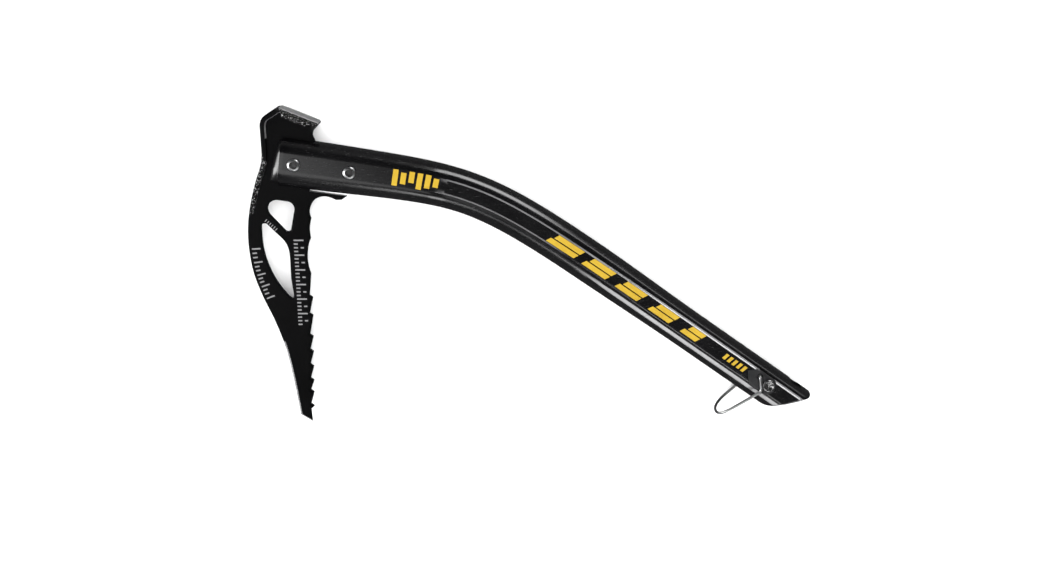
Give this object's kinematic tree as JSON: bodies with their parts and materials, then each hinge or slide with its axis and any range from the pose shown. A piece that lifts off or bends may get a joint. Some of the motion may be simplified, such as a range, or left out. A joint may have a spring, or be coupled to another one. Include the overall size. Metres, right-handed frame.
{
  "type": "ice axe",
  "caption": "Short bent-shaft ice axe with a toothed pick, a hammer head and a swinging wire bail at the slanted foot, lying on its side.",
  "frame": {"origin": "under the middle of the axe's box, on the surface that it lies on", "axes": "+X from the head towards the foot along the longest extent, +Y from the pick towards the hammer, +Z out of the axe's upper side, its shortest extent"},
  "size_m": [0.425, 0.244, 0.0336],
  "materials": {
    "anodised_shaft": "glossy black anodised, with yellow marks",
    "coated_steel": "matt black coat over forged steel, ground bare on the hammer face and along the pick's edges",
    "black_filler": "smooth moulded black",
    "moulded_plate": "fine-grained dark grey moulding",
    "stainless": "turned and drawn stainless steel"
  },
  "bodies": {
    "axe": {"shaft_tube": "anodised_shaft", "pick_head": "coated_steel", "head_cheek_front": "black_filler", "head_cheek_rear": "black_filler", "head_screw_fore": "stainless", "head_nut_fore": "stainless", "head_screw_aft": "stainless", "head_nut_aft": "stainless", "bail_plate_front": "moulded_plate", "bail_plate_rear": "moulded_plate", "foot_plug": "black_filler", "foot_screw": "stainless", "foot_nut": "stainless"},
    "bail": {"wire_bail": "stainless"}
  },
  "joints": [
    {"name": "bail_swing", "type": "hinge", "parent": "axe", "child": "bail", "pos_m": [0.16973, -0.08017, 0.0168], "axis": [0, 0, -1], "range_deg": [0, 54]}
  ]
}
